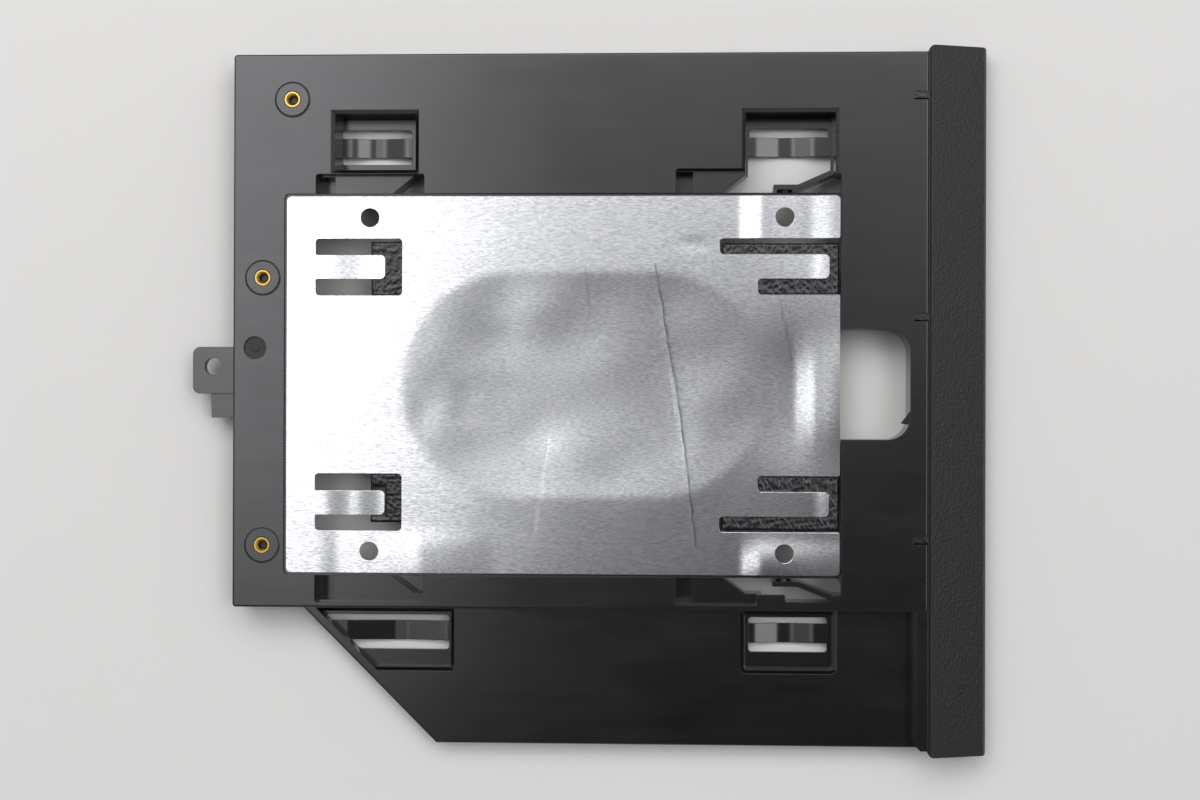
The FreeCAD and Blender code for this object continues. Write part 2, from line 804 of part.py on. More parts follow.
def make_tape():
    """Adhesive strip on the ledge, round three sides of the bay opening."""
    z = (tape_bottom, plate_bottom)
    outer_y = widen((-plate_half, plate_half), -tape_margin)
    whole = box((plate_rear + tape_margin, plate_front - tape_front_gap), outer_y, z)
    inner_y = widen((-opening_half, opening_half), tape_margin)
    return whole.cut(box((opening_rear - tape_margin, plate_front), inner_y, z))


def make_pads():
    """Four foam pads on the inner side of the plate, behind the tongues and clear of the dish."""
    pressed = dish_form(plate_bottom)
    z = (plate_bottom - pad_thick, plate_bottom)
    rear_x = shift(pad_rear_in, plate_rear)
    front_x = shift(pad_front_in, plate_front, -1)
    pads = {}
    for place in ("upper", "lower"):
        pads[f"pad_rear_{place}"] = box(rear_x, pads_rear_y[place], z).cut(pressed)
        pads[f"pad_front_{place}"] = box(front_x, pads_front_y[place], z).cut(pressed)
    return pads


def make_board():
    """Adapter board with its screw holes, cut back behind the two connectors."""
    rear = tray_rear + wall + board_play
    inner = bay_rear - bay_wall - 2 * board_play
    low, jog, high = board_y
    z = (board_bottom, board_top)
    board = box((rear, inner), (low, jog), z).fuse(box((rear, board_inner), (jog, high), z))
    board = board.removeSplitter()
    behind_socket = (bay_rear - socket_depth + board_bite, inner + 1)
    behind_plug = (rear - 1, tray_rear + plug_depth - board_bite)
    cuts = [box(behind_socket, widen(socket_y, board_play), through)]
    cuts.append(box(behind_plug, widen(plug_y, board_play), through))
    for x, y in insert_places:
        cuts.append(cylinder(screw_way, x, y, through))
    return board.cut(cuts)


def contact_row(x, start, count, z):
    """Flat contacts side by side."""
    row = []
    for i in range(count):
        y = start + i * contact_pitch
        row.append(box(x, (y, y + contact_width), z))
    return row


def make_socket(board):
    """Drive socket with its two slots, and the contacts in them."""
    x = (bay_rear - socket_depth, bay_rear + board_play)
    length, height = socket_slot
    slot_x = (x[1] - length, x[1] + 1)
    slot_z = band(board_middle, height)
    key = socket_y[1] - socket_key
    socket = box(x, socket_y, band(board_middle, socket_height)).cut(board)
    for y in ((socket_y[0] + 1.4, key - 1.0), (key + 1.0, socket_y[1] - 1.4)):
        socket = socket.cut(box(slot_x, y, slot_z))
    pin_x = (slot_x[0], x[1] - contact_width)
    pin_z = (slot_z[1] - 0.35, slot_z[1])
    pins = contact_row(pin_x, socket_y[0] + 2.4, 7, pin_z) + contact_row(pin_x, key + 2.0, 15, pin_z)
    return socket.removeSplitter(), Part.makeCompound(pins)


def make_plug(board):
    """Bay plug with a tongue in its mouth, and the contacts under the tongue."""
    x = (tray_rear + 0.1, tray_rear + plug_depth)
    length, height = plug_mouth
    mouth_y = widen(plug_y, -1.0)
    plug = box(x, plug_y, band(board_middle, plug_height)).cut(board)
    plug = plug.cut(box((x[0] - 1, x[0] + length), mouth_y, band(board_middle, height)))
    tongue_z = (board_middle - 0.2, board_middle + 0.9)
    plug = plug.fuse(box((x[0] + contact_width, x[0] + length), widen(mouth_y, -1.0), tongue_z))
    pin_x = (x[0] + 0.9, x[0] + length - 0.2)
    pins = contact_row(pin_x, mouth_y[0] + 2.4, 13, (tongue_z[0] - 0.2, tongue_z[0]))
    return plug.removeSplitter(), Part.makeCompound(pins)


def make_components():
    """Small parts soldered to the open side of the board."""
    blocks = [box(x, y, (board_bottom - height, board_bottom)) for x, y, height in component_places]
    return Part.makeCompound(blocks)


def make_insert(x, y):
    """Brass insert flush with the top of its boss."""
    z = (boss_top - insert_length, boss_top)
    return cylinder(insert_radius, x, y, z).cut(cylinder(insert_bore, x, y, widen(z, 1.0)))


def make_screw(x, y):
    """Flat-headed screw with a cross recess, driven up through the board into an insert."""
    head_bottom = board_bottom - screw_head_height
    head = cylinder(screw_head, x, y, (head_bottom, board_bottom))
    shank = cylinder(screw_radius, x, y, (board_bottom, boss_top - screw_short))
    recess_z = (head_bottom - 1, head_bottom + cross_depth)
    recess = [
        box(band(x, cross_length), band(y, cross_width), recess_z),
        box(band(x, cross_width), band(y, cross_length), recess_z),
    ]
    return head.fuse(shank).cut(recess)


def build():
    """All nodes by name, in datum coordinates."""
    nodes = {
        "tray": make_tray(),
        "front_bezel": make_bezel(),
        "shield_plate": make_plate(),
        "plate_tape": make_tape(),
    }
    nodes.update(make_pads())
    for number, (x, y) in enumerate(insert_places, 1):
        nodes[f"insert_{number}"] = make_insert(x, y)
        nodes[f"board_screw_{number}"] = make_screw(x, y)
    board = make_board()
    nodes["adapter_board"] = board
    nodes["drive_socket"], nodes["drive_socket_contacts"] = make_socket(board)
    nodes["bay_plug"], nodes["bay_plug_contacts"] = make_plug(board)
    nodes["board_components"] = make_components()
    return nodes


# Move the datum so that the middle of the whole footprint is at x = 0, y = 0
centre_x = (tray_rear - tab_reach + bezel_front) / 2
centre_y = (wing_y + side_y) / 2
os.makedirs("parts", exist_ok=True)
for name, shape in build().items():
    shape.translate(V(-centre_x, -centre_y, 0))
    shape.exportStep(f"parts/{name}.step")
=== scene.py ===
import bpy
import json
import math
import numpy as np
from mathutils.geometry import delaunay_2d_cdt
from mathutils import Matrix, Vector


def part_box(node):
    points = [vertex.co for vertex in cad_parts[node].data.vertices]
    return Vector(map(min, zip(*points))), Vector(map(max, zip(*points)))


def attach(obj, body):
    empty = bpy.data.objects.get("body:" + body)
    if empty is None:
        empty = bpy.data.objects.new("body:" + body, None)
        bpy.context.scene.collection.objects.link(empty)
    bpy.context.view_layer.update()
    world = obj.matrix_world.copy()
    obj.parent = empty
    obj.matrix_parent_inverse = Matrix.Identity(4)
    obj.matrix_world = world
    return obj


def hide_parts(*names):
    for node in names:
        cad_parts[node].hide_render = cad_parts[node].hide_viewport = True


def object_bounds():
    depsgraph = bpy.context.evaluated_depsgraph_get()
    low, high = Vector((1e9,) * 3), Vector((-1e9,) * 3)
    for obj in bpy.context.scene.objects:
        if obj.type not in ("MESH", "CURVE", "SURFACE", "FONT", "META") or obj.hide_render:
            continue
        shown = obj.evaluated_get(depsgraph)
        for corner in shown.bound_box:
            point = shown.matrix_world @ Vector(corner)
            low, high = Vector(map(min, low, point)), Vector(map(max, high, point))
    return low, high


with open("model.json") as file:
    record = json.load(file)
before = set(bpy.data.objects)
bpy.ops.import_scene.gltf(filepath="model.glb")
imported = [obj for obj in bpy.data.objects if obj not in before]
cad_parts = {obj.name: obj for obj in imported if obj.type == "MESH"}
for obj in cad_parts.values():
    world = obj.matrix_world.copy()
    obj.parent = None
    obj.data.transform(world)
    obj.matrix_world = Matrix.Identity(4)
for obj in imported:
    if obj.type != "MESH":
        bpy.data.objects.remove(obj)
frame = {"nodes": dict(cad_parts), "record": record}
cad_low, cad_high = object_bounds()
nodes = frame["nodes"]
MM = 0.001

# A Mix node has several sockets of one name, so those for colours go by number
MIX_SHARE = 0
MIX_FIRST = 6
MIX_SECOND = 7
MIX_RESULT = 2


def linear(text):
    """An sRGB hex colour such as #8a8d90 as linear red, green, blue and alpha."""
    srgb = np.array([int(text[at:at + 2], 16) for at in (1, 3, 5)]) / 255
    value = np.where(srgb <= 0.04045, srgb / 12.92, ((srgb + 0.055) / 1.055) ** 2.4)
    return (*value.tolist(), 1.0)


def scale_of(size_mm):
    """Noise scale that makes a pattern of about this size on coordinates in metres."""
    return 1 / (size_mm * MM)


def add_node(tree, kind, inputs=None, **settings):
    """Adds one node. Each input is a plain value or the output socket of another node."""
    made = tree.nodes.new(kind)
    for name, value in settings.items():
        setattr(made, name, value)
    for name, value in (inputs or {}).items():
        if isinstance(value, bpy.types.NodeSocket):
            tree.links.new(value, made.inputs[name])
        else:
            made.inputs[name].default_value = value
    return made


def new_finish(name, **sockets):
    """A material with its shader; words in the socket names are joined by underscores."""
    made = bpy.data.materials.new(name)
    made.use_nodes = True
    shader = made.node_tree.nodes["Principled BSDF"]
    for socket, value in sockets.items():
        shader.inputs[socket.replace("_", " ").title().replace("Ior", "IOR")].default_value = value
    return made, made.node_tree, shader


def add_object(name, data):
    """An object for a mesh, a lamp or a camera, linked into the scene."""
    made = bpy.data.objects.new(name, data)
    bpy.context.scene.collection.objects.link(made)
    return made


def box_mm(node):
    """Low and high corner of a CAD node's box, in millimetres."""
    return [np.array(corner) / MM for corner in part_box(node)]


def used_only(points, faces):
    """The points that the faces use, and the faces with those points' new numbers."""
    used, number = np.unique(faces, return_inverse=True)
    return points[used], number.reshape(faces.shape)


def put_mesh(form, node, points, faces, slot, sharp):
    """Puts arrays of points in millimetres and faces into a mesh that rides on the caddy in place of a CAD
    node. It is shaded smooth, apart from edges that bend by more than an angle in degrees."""
    name = form + "_" + node
    mesh = bpy.data.meshes.new(name)
    mesh.from_pydata((points * MM).tolist(), [], faces.tolist())
    mesh.update()
    mesh.shade_smooth()
    mesh.set_sharp_from_angle(angle=math.radians(sharp))
    mesh.materials.append(finish_of_slot[slot])
    piece = add_object(name, mesh)
    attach(piece, "root")
    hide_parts(node)
    return piece


# Finishes

# Sizes in mm: of patterns, of the bumps that they raise and of the rounding that edges seem to have. A
# stretch slows a pattern along x, which draws it out that way. The gate is a dimple in the tray, given by the
# middle of its floor, its radius and the width of its rim
scuff_size = 16.0
flow_streak_size = 2.0
flow_stretch = (0.12, 1.0, 1.0)
moulded_grain_size = 0.3
moulded_grain_height = 0.02
tray_edge_round = 0.15
gate_point = (-61.4, 9.55, 9.15)
gate_radius = 2.1
gate_rim = 0.05
spark_grain_size = 0.5
spark_grain_height = 0.08
bezel_edge_round = 0.2
bezel_back_x = 62.8
bezel_back_soft = 0.1
rolled_grain_size = 0.2
rolled_grain_height = 0.007
rolled_stretch = (0.22, 1.0, 1.0)
track_spacing = 1.2
track_patch_size = 7.0
track_height = 0.03

# A Wave texture runs through this many radians of its sine in one unit of its coordinate
wave_radians = 20

# Refractive index of ABS
abs_ior = 1.53


def satin_abs():
    """Black ABS from a polished mould: a broad soft sheen, a fine grain, faint flow streaks along the tray,
    dull handling scuffs, and a matt break where the gate was. The 0.3 mm grain is coarser than the real one,
    so that it shows."""
    made, tree, shader = new_finish("satin black ABS", ior=abs_ior, specular_ior_level=0.65)
    place = add_node(tree, "ShaderNodeTexCoord").outputs["Object"]
    cloud = add_node(tree, "ShaderNodeTexNoise", {
        "Vector": place, "Scale": scale_of(scuff_size), "Detail": 3.0, "Roughness": 0.55})
    flow = add_node(tree, "ShaderNodeMapping", {"Vector": place, "Scale": flow_stretch})
    streak = add_node(tree, "ShaderNodeTexNoise", {
        "Vector": flow.outputs["Vector"], "Scale": scale_of(flow_streak_size), "Detail": 4.0,
        "Roughness": 0.6})
    grain = add_node(tree, "ShaderNodeTexNoise", {
        "Vector": place, "Scale": scale_of(moulded_grain_size), "Detail": 2.0})
    haze = add_node(tree, "ShaderNodeMath", {
        0: cloud.outputs["Fac"], 1: streak.outputs["Fac"]}, operation="ADD")
    rough = add_node(tree, "ShaderNodeMapRange", {
        "Value": haze.outputs["Value"], "From Min": 0.7, "From Max": 1.3, "To Min": 0.155, "To Max": 0.205})
    off_gate = add_node(tree, "ShaderNodeVectorMath", {
        0: place, 1: [value * MM for value in gate_point]}, operation="DISTANCE")
    dull = add_node(tree, "ShaderNodeMapRange", {
        "Value": off_gate.outputs["Value"], "To Min": 0.4, "To Max": 0.0,
        "From Min": gate_radius * MM, "From Max": (gate_radius + gate_rim) * MM})
    both = add_node(tree, "ShaderNodeMath", {
        0: rough.outputs["Result"], 1: dull.outputs["Result"]}, operation="ADD")
    tree.links.new(both.outputs["Value"], shader.inputs["Roughness"])
    tint = add_node(tree, "ShaderNodeMix", {
        MIX_SHARE: grain.outputs["Fac"], MIX_FIRST: linear("#080809"), MIX_SECOND: linear("#121214")},
        data_type="RGBA")
    tree.links.new(tint.outputs[MIX_RESULT], shader.inputs["Base Color"])
    soft = add_node(tree, "ShaderNodeBevel", {"Radius": tray_edge_round * MM}, samples=4)
    bump = add_node(tree, "ShaderNodeBump", {
        "Strength": 0.2, "Distance": moulded_grain_height * MM, "Height": grain.outputs["Fac"],
        "Normal": soft.outputs["Normal"]})
    tree.links.new(bump.outputs["Normal"], shader.inputs["Normal"])
    return made


def grained_abs():
    """Black ABS from a spark-eroded mould: an even matt face with a pebbled grain of about 0.5 mm. The
    hooks behind the bezel's back face are satin."""
    made, tree, shader = new_finish("spark-grained black ABS", ior=abs_ior)
    place = add_node(tree, "ShaderNodeTexCoord").outputs["Object"]
    grain = add_node(tree, "ShaderNodeTexNoise", {
        "Vector": place, "Scale": scale_of(spark_grain_size), "Detail": 2.0, "Roughness": 0.5})
    tint = add_node(tree, "ShaderNodeMix", {
        MIX_SHARE: grain.outputs["Fac"], MIX_FIRST: linear("#0b0b0c"), MIX_SECOND: linear("#1b1b1c")},
        data_type="RGBA")
    tree.links.new(tint.outputs[MIX_RESULT], shader.inputs["Base Color"])
    axes = add_node(tree, "ShaderNodeSeparateXYZ", {"Vector": place}).outputs
    rough = add_node(tree, "ShaderNodeMapRange", {
        "Value": axes["X"], "To Min": 0.18, "To Max": 0.36,
        "From Min": (bezel_back_x - bezel_back_soft) * MM, "From Max": bezel_back_x * MM})
    tree.links.new(rough.outputs["Result"], shader.inputs["Roughness"])
    soft = add_node(tree, "ShaderNodeBevel", {"Radius": bezel_edge_round * MM}, samples=4)
    bump = add_node(tree, "ShaderNodeBump", {
        "Strength": 0.8, "Distance": spark_grain_height * MM, "Height": grain.outputs["Fac"],
        "Normal": soft.outputs["Normal"]})
    tree.links.new(bump.outputs["Normal"], shader.inputs["Normal"])
    return made


def mill_aluminium():
    """Mill-finish aluminium sheet: a blurred mirror with rolled grain in short dashes along its long side,
    bright lines that are scratches with painted highlights, and creases darkened by painted shade. The 0.2 mm
    grain is coarser than the real one, so that it shows."""
    made, tree, shader = new_finish("mill-finish aluminium", metallic=1.0)
    place = add_node(tree, "ShaderNodeTexCoord").outputs["Object"]
    lay = add_node(tree, "ShaderNodeMapping", {"Vector": place, "Scale": rolled_stretch})
    grain = add_node(tree, "ShaderNodeTexNoise", {
        "Vector": lay.outputs["Vector"], "Scale": scale_of(rolled_grain_size), "Detail": 4.0,
        "Roughness": 0.7})
    dash = add_node(tree, "ShaderNodeMapRange", {
        "Value": grain.outputs["Fac"], "From Min": 0.32, "From Max": 0.68, "To Min": 0.0, "To Max": 1.0})
    tint = add_node(tree, "ShaderNodeMix", {
        MIX_SHARE: dash.outputs["Result"], MIX_FIRST: linear("#a0a2a8"), MIX_SECOND: linear("#eaeae9")},
        data_type="RGBA")
    crease = add_node(tree, "ShaderNodeAttribute", attribute_name="crease").outputs["Fac"]
    # Painted highlights, partly real scratches: where the crease attribute is below nought, the lines turn
    # near white
    line = add_node(tree, "ShaderNodeMapRange", {
        "Value": crease, "From Min": 0.0, "From Max": -1.0, "To Min": 0.0, "To Max": 1.0})
    scratches_and_painted_highlights = add_node(tree, "ShaderNodeMix", {
        MIX_SHARE: line.outputs["Result"], MIX_FIRST: tint.outputs[MIX_RESULT],
        MIX_SECOND: linear("#fafafa")}, data_type="RGBA")
    # Painted shade: where the crease attribute is above nought, the creases turn a dull blue-grey
    crease_shade_and_highlight_paint = add_node(tree, "ShaderNodeMix", {
        MIX_SHARE: crease, MIX_FIRST: scratches_and_painted_highlights.outputs[MIX_RESULT], MIX_SECOND: linear("#666b78")},
        data_type="RGBA")
    tree.links.new(crease_shade_and_highlight_paint.outputs[MIX_RESULT], shader.inputs["Base Color"])
    rough = add_node(tree, "ShaderNodeMapRange", {
        "Value": grain.outputs["Fac"], "From Min": 0.3, "From Max": 0.7, "To Min": 0.2, "To Max": 0.15})
    tree.links.new(rough.outputs["Result"], shader.inputs["Roughness"])
    bump = add_node(tree, "ShaderNodeBump", {
        "Strength": 0.4, "Distance": rolled_grain_height * MM, "Height": grain.outputs["Fac"]})
    tree.links.new(bump.outputs["Normal"], shader.inputs["Normal"])
    return made


def solder_mask():
    """Green solder mask over glass laminate: glossy, with lighter tracks 1.2 mm apart showing through."""
    made, tree, shader = new_finish("green solder mask", roughness=0.28)
    place = add_node(tree, "ShaderNodeTexCoord").outputs["Object"]
    bands = add_node(tree, "ShaderNodeTexWave", {
        "Vector": place, "Scale": scale_of(track_spacing) * 2 * math.pi / wave_radians,
        "Distortion": 1.5, "Detail": 0.0}, bands_direction="X")
    patch = add_node(tree, "ShaderNodeTexNoise", {
        "Vector": place, "Scale": scale_of(track_patch_size), "Detail": 1.0})
    track = add_node(tree, "ShaderNodeMapRange", {
        "Value": bands.outputs["Fac"], "From Min": 0.7, "From Max": 0.8, "To Min": 0.0, "To Max": 1.0})
    shown = add_node(tree, "ShaderNodeMath", {
        0: track.outputs["Result"], 1: patch.outputs["Fac"]}, operation="MULTIPLY")
    tint = add_node(tree, "ShaderNodeMix", {
        MIX_SHARE: shown.outputs["Value"], MIX_FIRST: linear("#0f4527"), MIX_SECOND: linear("#2c7a48")},
        data_type="RGBA")
    tree.links.new(tint.outputs[MIX_RESULT], shader.inputs["Base Color"])
    bump = add_node(tree, "ShaderNodeBump", {
        "Strength": 0.4, "Distance": track_height * MM, "Height": shown.outputs["Value"]})
    tree.links.new(bump.outputs["Normal"], shader.inputs["Normal"])
    return made


def mottled_finish(name, dark, light, size_mm, roughness, bump_mm, metallic=0.0):
    """A material whose colour, roughness and small bumps follow one noise pattern of a given size."""
    made, tree, shader = new_finish(name, metallic=metallic)
    place = add_node(tree, "ShaderNodeTexCoord").outputs["Object"]
    grain = add_node(tree, "ShaderNodeTexNoise", {
        "Vector": place, "Scale": scale_of(size_mm), "Detail": 3.0, "Roughness": 0.6})
    tint = add_node(tree, "ShaderNodeMix", {
        MIX_SHARE: grain.outputs["Fac"], MIX_FIRST: linear(dark), MIX_SECOND: linear(light)},
        data_type="RGBA")
    tree.links.new(tint.outputs[MIX_RESULT], shader.inputs["Base Color"])
    rough = add_node(tree, "ShaderNodeMapRange", {
        "Value": grain.outputs["Fac"], "From Min": 0.3, "From Max": 0.7,
        "To Min": roughness[0], "To Max": roughness[1]})
    tree.links.new(rough.outputs["Result"], shader.inputs["Roughness"])
    bump = add_node(tree, "ShaderNodeBump", {
        "Strength": 0.5, "Distance": bump_mm * MM, "Height": grain.outputs["Fac"]})
    tree.links.new(bump.outputs["Normal"], shader.inputs["Normal"])
    return made


finish_of_slot = {
    "tray_plastic": satin_abs(),
    "bezel_plastic": grained_abs(),
    "aluminium_sheet": mill_aluminium(),
    "board_laminate": solder_mask(),
    # Foam under a crumpled black film: dark folds with small glints
    "foam": mottled_finish("black film over foam", "#08090a", "#17181a", 0.25, (0.17, 0.34), 0.05),
    # Turned brass: warm yellow metal, a little dulled
    "brass": mottled_finish("turned brass", "#8f7434", "#d2b468", 0.3, (0.2, 0.34), 0.01, 1.0),
    # Black-plated steel: dark grey metal with a satin face
    "screw_steel": mottled_finish("black-plated steel", "#2c2c2e", "#464649", 0.3, (0.32, 0.46), 0.01, 1.0),
    # Adhesive film: milky and dull, with small trapped bubbles
    "tape": mottled_finish("adhesive film", "#bdbcb5", "#d4d3cd", 1.0, (0.4, 0.6), 0.02),
    # Glass-filled nylon: black and slightly mottled by its fibres
    "connector_plastic": mottled_finish(
        "black glass-filled nylon", "#141415", "#232324", 0.35, (0.42, 0.58), 0.02),
    # Gold-plated spring contacts: bright and smooth
    "contact_gold": mottled_finish(
        "gold-plated contacts", "#cfa84e", "#e3c06c", 0.6, (0.16, 0.26), 0.005, 1.0),
    # Ceramic and resin bodies of the board's small parts: brown-grey and matt
    "component_body": mottled_finish(
        "ceramic and resin components", "#463b2e", "#6a5c4a", 0.8, (0.45, 0.6), 0.02),
}
for subpart in frame["record"]["subparts"]:
    mesh = nodes[subpart["node"]].data
    mesh.materials.clear()
    mesh.materials.append(finish_of_slot[subpart["material_slot"]])


# Shield plate

# Sizes in mm. A place along the plate is counted in from its rear or front edge, and a place across it from
# its middle line. A slot is given across by its low side, the two sides of its tongue and its high side; the
# front slots are a mirrored pair, open at the front edge
plate_low, plate_high = box_mm("shield_plate")
plate_rear, plate_front = plate_low[0], plate_high[0]
plate_side = (plate_high[1] - plate_low[1]) / 2
plate_mid_y = (plate_high[1] + plate_low[1]) / 2
plate_top = plate_high[2]
plate_thick = 0.4
plate_corner = 0.9
slot_corner = 0.7
slot_mouth_corner = 0.3
tongue_corner = 0.9
rear_slot_in = (5.4, 21.5)
rear_tip_in = 18.35
rear_slots = ((16.5, 19.5, 24.0, 26.95), (-27.05, -24.15, -19.65, -16.5))
front_outer_in = 22.0
front_inner_in = 15.0
front_tip_in = 1.95
front_slot = (16.65, 19.55, 24.1, 26.95)
hole_radius = 1.72
hole_points = 40
hole_pitch = (76.6, 61.72)
hole_mid_x = plate_rear + 53.8
dish_mid_x = plate_rear + 55.2
dish_half_length = 33.6
dish_radius = 20.75
dish_depth = 0.52
dish_end_share = 0.4
dish_rim_soft = 0.03
edge_roll_width = 0.07
edge_roll_drop = 0.03
mesh_step = 0.7
mesh_clear_share = 0.45
same_point = 1e-6

# Handling has left gentle folds in the plate. Each place has its stretch across the plate, the softness of
# the stretch's sides, how far in from the front edge it ends, and its folds: ramps between two places in from
# the front edge, each with a slope and a softness
beyond_front = -1.0
past_rear_tip = 83.5
plate_folds = {
    "front end of the dish": ((-14.0, 10.0), 4.0, beyond_front, [((25.0, 9.0), -0.0225, 1.2)]),
    "front lip": ((-10.5, 6.5), 2.4, beyond_front, [
        ((8.6, 4.6), 0.093, 0.12), ((4.6, 0.6), 0.073, 0.5)]),
    "below the front lip": ((-22.0, -10.5), 2.4, beyond_front, [((17.0, -0.5), 0.016, 1.2)]),
    "above the front lip": ((6.5, 22.0), 2.4, beyond_front, [((17.0, -0.5), 0.016, 1.2)]),
    "upper front corner": ((26.0, 36.0), 0.1, beyond_front, [
        ((21.5, 18.9), -0.03, 0.2), ((18.8, 13.9), 0.08, 0.12),
        ((13.4, 6.6), -0.058, 0.5), ((6.0, 1.0), 0.078, 0.4)]),
    "lower front corner": ((-36.0, -26.0), 0.1, beyond_front, [((21.5, 18.5), -0.03, 0.2)]),
    "lower front edge": ((-36.0, -29.8), 0.9, beyond_front, [
        ((18.4, 14.2), 0.085, 0.15), ((13.0, 3.0), -0.02, 0.5)]),
    "lower rear corner": ((-36.0, -26.2), 0.1, beyond_front, [
        ((95.6, 92.4), -0.03, 0.4), ((92.0, 88.0), 0.024, 0.5)]),
    "lower rear edge": ((-36.0, -28.2), 0.8, beyond_front, [
        ((86.0, 77.4), 0.019, 0.15), ((77.2, 64.0), -0.012, 0.5)]),
    "rear part of the dish": ((-7.0, 0.4), 0.7, beyond_front, [
        ((71.9, 69.0), -0.016, 0.3), ((69.0, 58.0), 0.004, 1.0)]),
    "upper rear tongue": ((18.6, 24.9), 0.1, past_rear_tip, [((94.0, 88.5), -0.032, 0.6)]),
    "lower rear tongue": ((-24.9, -18.6), 0.1, past_rear_tip, [
        ((94.5, 90.5), -0.045, 0.4), ((88.6, 85.0), -0.04, 0.3)]),
    "upper front tongue": ((18.6, 25.0), 0.1, beyond_front, [
        ((14.5, 6.0), -0.024, 0.5), ((5.6, 2.5), 0.08, 0.5)]),
    "lower front tongue": ((-25.0, -18.6), 0.1, beyond_front, [
        ((14.5, 5.0), -0.024, 0.5), ((4.6, 2.0), 0.08, 0.5)]),
}

# Dents, and bulges with a depth below nought: place in from the front edge and across, half lengths along x
# and y, and depth
plate_dents = (
    (77.0, -6.0, 2.5, 3.0, 0.03),
    (26.9, 25.9, 2.6, 1.1, 0.04),
    (56.0, -9.0, 5.0, 4.0, 0.07),
    (41.0, 4.5, 5.5, 4.5, -0.03),
    (62.0, 8.0, 6.0, 4.0, 0.05),
    (30.0, -12.0, 4.0, 5.0, 0.05),
    (12.0, -36.0, 14.0, 8.0, -0.055),
)

# Creases, darkened by painted shade, and bright lines with a weight below nought, partly scratches and partly
# painted highlights beside the creases: points along each, in from the front edge and across. The rows of
# mesh points beside a crease are given in half widths of it
plate_creases = (
    (1.0, ((33.9, 22.1), (30.2, 1.0), (28.3, -11.9), (26.4, -29.3))),
    (0.25, ((46.9, 22.1), (46.0, 14.0), (47.2, 8.5))),
    (0.6, ((11.0, 15.7), (8.8, 4.7))),
    (-0.3, ((53.2, -8.8), (56.0, -27.3))),
    (-0.2, ((54.2, -13.6), (56.9, -29.5))),
    (-0.5, ((31.2, 2.8), (29.9, -7.4))),
    (-0.12, ((24.0, 12.0), (22.5, -6.0))),
    (-0.12, ((26.3, 9.0), (25.2, -9.0))),
)
crease_half = 0.2
crease_depth = 0.016
crease_step = 1.2
crease_stray = 0.1
crease_weight_range = (0.4, 1.0)
crease_row_start = 0.1
crease_rows = (-2.2, -1.1, 0.0, 1.1, 2.2)

# Waviness of the sheet, which grows by a share towards the middle of the dish and is full at half its fall
sheet_wave_seed = 7
sheet_waves = 12
sheet_wave_mm = (9.0, 26.0)
sheet_wave_depth = 0.005
dish_wave_share = 3.0
dish_wave_full = 0.5


def rounded_loop(corners, radii, arc_steps=7):
    """Closed outline with round corners: at each corner the arc starts one tangent length before it and
    goes forward by radius times sine and aside by radius times one minus cosine of the angle turned."""
    corners = np.array(corners, float)
    radii = np.array(radii, float)[:, None, None]
    ahead = np.roll(corners, -1, axis=0) - corners
    ahead /= np.linalg.norm(ahead, axis=1)[:, None]
    behind = np.roll(ahead, 1, axis=0)
    turn = np.arctan2(behind[:, 0] * ahead[:, 1] - behind[:, 1] * ahead[:, 0], (behind * ahead).sum(1))
    aside = np.stack([-behind[:, 1], behind[:, 0]], 1) * np.sign(turn)[:, None]
    angle = np.abs(turn)[:, None, None] * np.linspace(0, 1, arc_steps)[None, :, None]
    start = corners[:, None] - behind[:, None] * radii * np.tan(np.abs(turn) / 2)[:, None, None]
    arcs = start + radii * (np.sin(angle) * behind[:, None] + (1 - np.cos(angle)) * aside[:, None])
    loop = arcs.reshape(-1, 2)
    return loop[np.linalg.norm(loop - np.roll(loop, 1, axis=0), axis=1) > same_point]


def refined(loop, step):
    """The same outline with points no further apart than the step, spread evenly on each straight."""
    ahead = np.roll(loop, -1, axis=0) - loop
    count = np.maximum(1, np.ceil(np.linalg.norm(ahead, axis=1) / step)).astype(int)
    first = np.repeat(np.arange(len(loop)), count)
    along = (np.arange(count.sum()) - np.repeat(np.cumsum(count) - count, count)) / np.repeat(count, count)
    return loop[first] + ahead[first] * along[:, None]


def inset(loop, by):
    """The outline moved to its left by a distance, along the mean normal of the two edges at each point."""
    ahead = np.roll(loop, -1, axis=0) - loop
    ahead /= np.linalg.norm(ahead, axis=1)[:, None]
    mean = ahead + np.roll(ahead, 1, axis=0)
    mean /= np.linalg.norm(mean, axis=1)[:, None]
    return loop + by * np.stack([-mean[:, 1], mean[:, 0]], 1)


def inside(points, loop):
    """Even-odd test: a point is inside where a ray along x crosses the outline an odd number of times."""
    ends = np.roll(loop, -1, axis=0)
    above = (loop[None, :, 1] > points[:, None, 1]) != (ends[None, :, 1] > points[:, None, 1])
    rise = np.where(ends[:, 1] == loop[:, 1], 1.0, ends[:, 1] - loop[:, 1])
    cross = loop[:, 0] + (points[:, None, 1] - loop[:, 1]) * ((ends - loop)[:, 0] / rise)
    return ((above & (points[:, :1] < cross)).sum(1) % 2) == 1


def on_sheet(points, loops):
    """Which points are inside the plate's outer outline and outside its slots and holes."""
    within = inside(points, loops[0])
    for loop in loops[1:]:
        within &= ~inside(points, loop)
    return within


